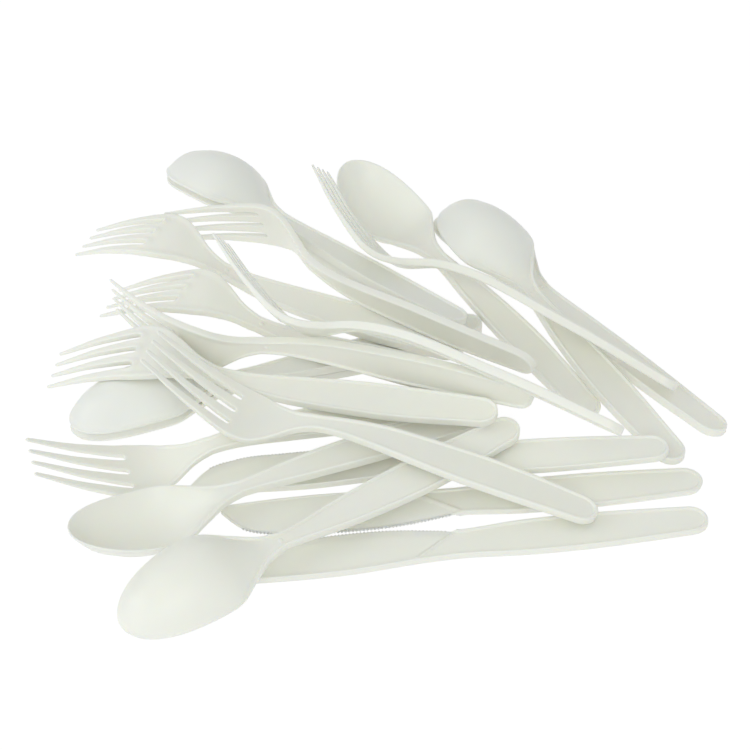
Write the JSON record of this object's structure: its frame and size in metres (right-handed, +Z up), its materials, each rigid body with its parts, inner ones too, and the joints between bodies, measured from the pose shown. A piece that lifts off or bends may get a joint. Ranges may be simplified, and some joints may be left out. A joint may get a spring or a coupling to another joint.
{
  "type": "plastic cutlery pack",
  "caption": "Loose heap of moulded ivory plastic forks, spoons and knives of one set, with a bead round both faces of each handle, lying on each other as tipped out of a pack.",
  "frame": {"origin": "under the middle of the heap's box, on the surface it lies on", "axes": "+Z up, +X to the right as pictured, +Y away from the camera"},
  "size_m": [0.244, 0.2484, 0.0494],
  "materials": {
    "ivory_plastic": "satin, moulded, warm off-white"
  },
  "bodies": {
    "root": {"fork_1": "ivory_plastic", "fork_2": "ivory_plastic", "fork_3": "ivory_plastic", "fork_4": "ivory_plastic", "fork_5": "ivory_plastic", "fork_6": "ivory_plastic", "fork_7": "ivory_plastic", "fork_8": "ivory_plastic", "fork_9": "ivory_plastic", "spoon_1": "ivory_plastic", "spoon_2": "ivory_plastic", "spoon_3": "ivory_plastic", "spoon_4": "ivory_plastic", "spoon_5": "ivory_plastic", "spoon_6": "ivory_plastic", "spoon_7": "ivory_plastic", "spoon_8": "ivory_plastic", "spoon_9": "ivory_plastic", "knife_1": "ivory_plastic", "knife_2": "ivory_plastic", "knife_3": "ivory_plastic"}
  },
  "joints": []
}
